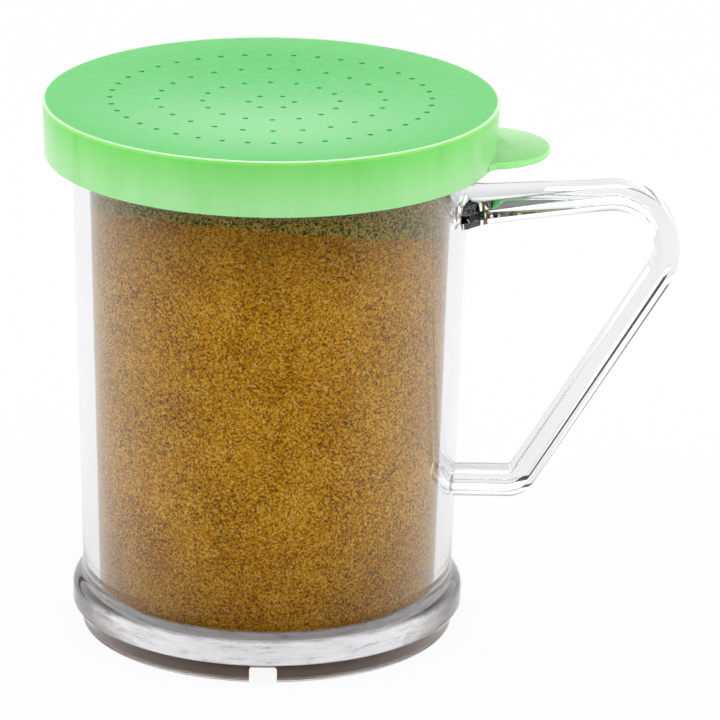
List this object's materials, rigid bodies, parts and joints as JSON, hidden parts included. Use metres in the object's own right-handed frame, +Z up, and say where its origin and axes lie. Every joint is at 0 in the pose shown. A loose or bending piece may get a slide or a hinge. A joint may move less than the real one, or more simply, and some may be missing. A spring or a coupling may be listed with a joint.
{
  "type": "spice shaker",
  "caption": "Clear spice shaker with a side handle, a notched foot ring and a green push-fit lid pierced with small pouring holes, filled with ground spice.",
  "frame": {"origin": "on the cup's axis, in the plane that the foot ring stands on", "axes": "+Z up along the cup's axis, +X out along the handle, -Y towards the pictured front with a drain notch"},
  "size_m": [0.1192, 0.085, 0.1031],
  "materials": {
    "clear_polycarbonate": "clear, polished mould",
    "handle_polycarbonate": "clear, polished mould",
    "ground_spice": "loose dry powder with pale and dark flecks",
    "green_polyethylene": "soft satin, slightly translucent"
  },
  "bodies": {
    "cup": {"cup": "clear_polycarbonate", "handle": "handle_polycarbonate", "spice_fill": "ground_spice"},
    "lid": {"lid": "green_polyethylene"}
  },
  "joints": [
    {"name": "lid_lift", "type": "slide", "parent": "cup", "child": "lid", "axis": [0, 0, 1], "range_m": [0, 0.045]}
  ]
}
